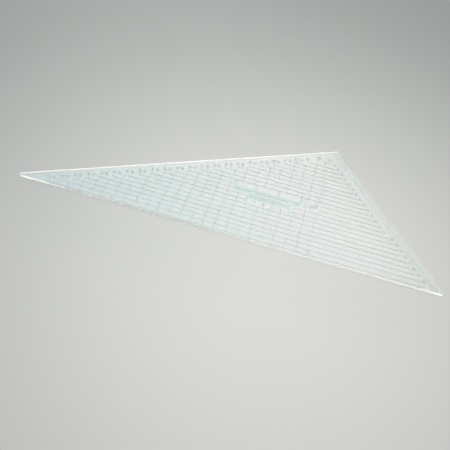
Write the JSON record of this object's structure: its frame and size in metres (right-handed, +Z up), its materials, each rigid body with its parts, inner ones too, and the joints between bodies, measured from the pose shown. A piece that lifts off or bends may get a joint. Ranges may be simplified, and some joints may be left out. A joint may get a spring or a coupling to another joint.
{
  "type": "quilting triangle ruler",
  "caption": "Clear acrylic triangle with a printed quarter-inch grid, edge numerals, a quarter-inch seam line and a round hanging hole, for marking and cutting fabric.",
  "frame": {"origin": "centre of the plate's bounding box, on its underside", "axes": "+X along the long edge, from the narrow left corner to the right corner; +Y across the plate, from the long edge to the apex; +Z up out of the printed face"},
  "size_m": [0.4642, 0.1676, 0.0033],
  "materials": {
    "acrylic": "clear, polished, with a faint green-blue tint",
    "teal_ink": "screen-print ink, satin",
    "grey_ink": "screen-print ink, satin"
  },
  "bodies": {
    "root": {"acrylic_plate": "acrylic", "cross_lines_inch": "teal_ink", "cross_lines_half_inch": "teal_ink", "grid_rows_inch": "grey_ink", "grid_rows_quarter_inch": "grey_ink", "plain_rows_inch": "grey_ink", "plain_rows_quarter_inch": "grey_ink", "seam_line_right_edge": "teal_ink", "cross_line_inch_numerals": "grey_ink", "cross_line_half_marks": "grey_ink", "left_row_inch_numerals": "grey_ink", "left_row_fraction_marks": "grey_ink", "right_row_inch_numerals": "grey_ink", "right_row_fraction_marks": "grey_ink", "inch_scale": "teal_ink", "inch_scale_numerals": "teal_ink", "centimetre_scale": "teal_ink", "centimetre_scale_numerals": "teal_ink"}
  },
  "joints": []
}
